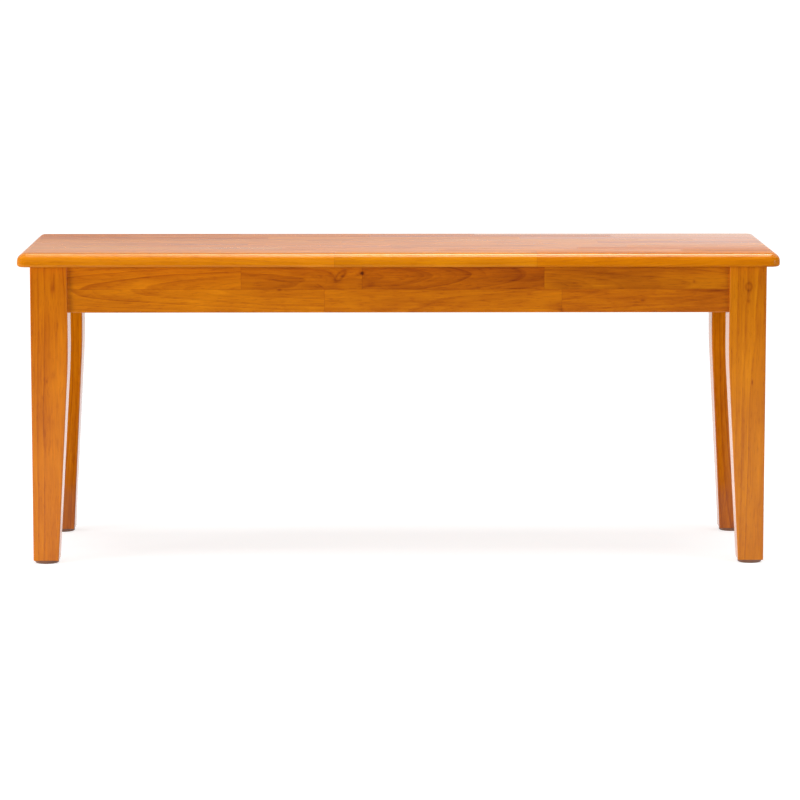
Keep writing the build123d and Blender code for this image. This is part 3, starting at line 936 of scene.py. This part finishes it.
# Studio: a pale floor that shows white to the camera and keeps the bench's shadow. Away
# from the bench it glows more, and in front of it the room is dark to all other rays.
WHITE = (1.0, 1.0, 1.0, 1.0)
floor_size = 120.0
floor_cells = 4
floor_colour = (0.58, 0.585, 0.59)
floor_roughness = 0.9
floor_lift = 0.72
glossy_lift = 0.92
sweep_lift = 0.92
sweep_start, sweep_end = 1.2, 4.5
dark_room_span = (-4.0, -0.8)
dark_sky_span = (-0.5, 0.2)
dark_room = 0.06
backdrop_span = (-0.08, 0.16)
backdrop_left = 0.62
ambient = 0.34


def white_where_seen(graph):
    """One where a ray comes from the camera, a reflection or clear material, else zero."""
    rays = graph.add("LightPath", {}).outputs
    seen = graph.math("MAXIMUM", rays["Is Camera Ray"], rays["Is Glossy Ray"])
    return graph.math("MAXIMUM", seen, rays["Is Transmission Ray"])


def studio_floor():
    """A floor that is clear from below, so that the underside can be seen through it."""
    shape = bmesh.new()
    bmesh.ops.create_grid(shape, x_segments=floor_cells, y_segments=floor_cells, size=floor_size / 2)
    mesh = mesh_of(shape, "studio_floor")
    floor = bpy.data.objects.new("studio_floor", mesh)
    bpy.context.scene.collection.objects.link(floor)
    graph = Graph(bpy.data.materials.new("studio_floor_paper"))
    place = graph.place()
    rays = graph.add("LightPath", {}).outputs
    lift = graph.spread(graph.vector("LENGTH", place), sweep_start, sweep_end, floor_lift, sweep_lift)
    lift = graph.math("MAXIMUM", lift, graph.math("MULTIPLY", rays["Is Glossy Ray"], glossy_lift))
    room = graph.spread(graph.part(place, "Y"), *dark_room_span, dark_room, 1.0)
    room = graph.math("MAXIMUM", room, rays["Is Camera Ray"])
    strength = graph.math("MULTIPLY", graph.math("MULTIPLY", white_where_seen(graph), lift), room)
    paper = graph.finish(
        Base_Color=graph.vector("MULTIPLY", floor_colour, room),
        Roughness=floor_roughness,
        Specular_IOR_Level=0.0,
        Emission_Color=WHITE,
        Emission_Strength=strength,
    )
    from_below = graph.add("NewGeometry", {}).outputs["Backfacing"]
    clear = graph.add("BsdfTransparent", {}).outputs[0]
    sides = graph.add("MixShader", {}, from_below, graph.shader.outputs[0], clear)
    graph.put(sides.outputs[0], graph.tree.nodes["Material Output"].inputs["Surface"])
    mesh.materials.append(paper)


def studio_world():
    """White where it is seen, a backdrop in reflections, and an even light elsewhere."""
    graph = Graph(bpy.data.worlds.new("studio_world"), "Background")
    rays = graph.add("LightPath", {}).outputs
    towards = graph.place("Generated")
    room = graph.spread(graph.part(towards, "Y"), *dark_sky_span, dark_room, 1.0)
    backdrop = graph.spread(graph.part(towards, "X"), *backdrop_span, backdrop_left, 1.0)
    backdrop = graph.math("MULTIPLY", backdrop, room)
    seen = graph.math("MAXIMUM", rays["Is Camera Ray"], rays["Is Transmission Ray"])
    seen = graph.math("MAXIMUM", seen, graph.math("MULTIPLY", rays["Is Glossy Ray"], backdrop))
    graph.finish(Color=WHITE, Strength=graph.math("MAXIMUM", seen, ambient))
    bpy.context.scene.world = graph.owner


def softbox(name, place, target, size, power, colour, mirrored):
    """A rectangular lamp that faces its target, and says whether reflections show it."""
    light = bpy.data.lights.new(name, "AREA")
    light.shape = "RECTANGLE"
    light.size, light.size_y = size
    light.energy = power
    light.color = colour
    lamp = bpy.data.objects.new(name, light)
    lamp.location = place
    lamp.rotation_euler = (Vector(target) - Vector(place)).to_track_quat("-Z", "Y").to_euler()
    lamp.visible_glossy = mirrored
    bpy.context.scene.collection.objects.link(lamp)
    return lamp


# Lamps: place, target, size, power in watts, colour, and whether reflections show them
soft_white = (1.0, 0.99, 0.98)
warm_white = (1.0, 0.99, 0.97)
edge_amber = (1.0, 0.96, 0.78)
seat_middle = (0, 0, 0.45)
bench_middle = (0, 0, 0.3)
seat_edge = Vector((0.05, -0.17, 0.45))
lamps = {
    "overhead": ((0.0, -0.2, 2.4), seat_middle, (2.4, 1.4), 44.0, warm_white, False),
    "front_centre": ((-0.2, -4.3, 0.8), bench_middle, (3.6, 1.0), 16.0, soft_white, False),
    "key_left": ((-6.3, -3.4, 0.8), bench_middle, (3.0, 1.4), 330.0, soft_white, False),
    "fill_right": ((6.0, -3.6, 0.8), bench_middle, (2.5, 1.4), 130.0, soft_white, True),
}
# Strips for the gleam on the seat's front edge: offset from it, depth, power, grid angle
strip_length = 2.0
edge_strips = {
    "edge_strip_behind": ((0.10, 0.373, 1.344), 0.72, 2.10, 36),
    "edge_strip_before": ((0.10, -0.363, 1.455), 0.42, 0.46, 26),
}

studio_floor()
studio_world()
for name, placing in lamps.items():
    softbox(name, *placing)
for name, (offset, depth, power, grid_angle) in edge_strips.items():
    place = seat_edge + Vector(offset)
    strip = softbox(name, place, seat_edge, (strip_length, depth), power, edge_amber, True)
    strip.data.spread = math.radians(grid_angle)
    strip.visible_diffuse = False

view = bpy.data.cameras.new("photo_view")
view.sensor_width = sensor_width
view.lens = focal_pixels * sensor_width / picture_width
camera = bpy.data.objects.new("photo_camera", view)
camera.location = camera_place
camera.rotation_euler = (math.pi / 2 - camera_pitch, 0, camera_yaw)
bpy.context.scene.collection.objects.link(camera)
bpy.context.scene.camera = camera
bpy.context.scene.view_settings.view_transform = "Standard"
